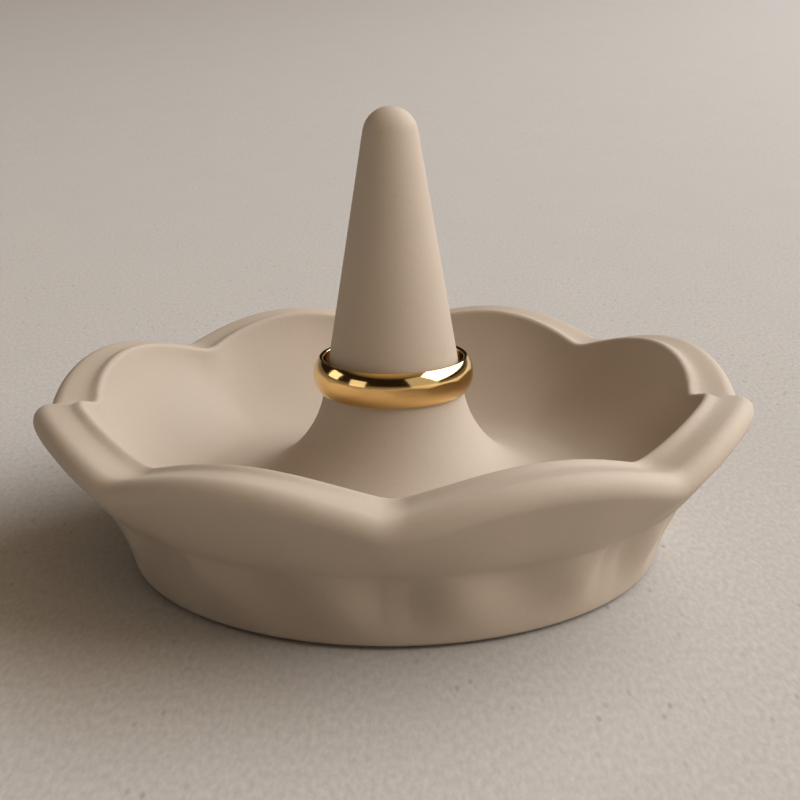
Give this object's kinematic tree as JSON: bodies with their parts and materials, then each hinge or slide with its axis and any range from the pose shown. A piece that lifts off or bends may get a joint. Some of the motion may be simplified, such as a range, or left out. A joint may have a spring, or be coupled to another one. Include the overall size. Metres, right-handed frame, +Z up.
{
  "type": "ring dish",
  "caption": "Round ring dish with a scalloped wavy rim, a tapered ring peg in the middle, soft foot pads underneath and a plain band resting on the peg.",
  "frame": {"origin": "middle of the footprint on the surface that the dish stands on, under the peg's axis", "axes": "+Z up along the peg's axis; -Y towards the viewer of the picture, through a notch of the rim; +X to the viewer's right"},
  "size_m": [0.0904, 0.0904, 0.0569],
  "materials": {
    "matte_ceramic": "matte, unglazed, taupe beige",
    "polished_gold": "polished yellow gold",
    "soft_pad": "matte, grey brown"
  },
  "bodies": {
    "dish": {"scalloped_dish": "matte_ceramic", "foot_pad_back_right": "soft_pad", "foot_pad_back_left": "soft_pad", "foot_pad_front_left": "soft_pad", "foot_pad_front_right": "soft_pad"},
    "band": {"gold_band": "polished_gold"}
  },
  "joints": [
    {"name": "ring_lift", "type": "slide", "parent": "dish", "child": "band", "axis": [0, 0, 1], "range_m": [0, 0.038]}
  ]
}
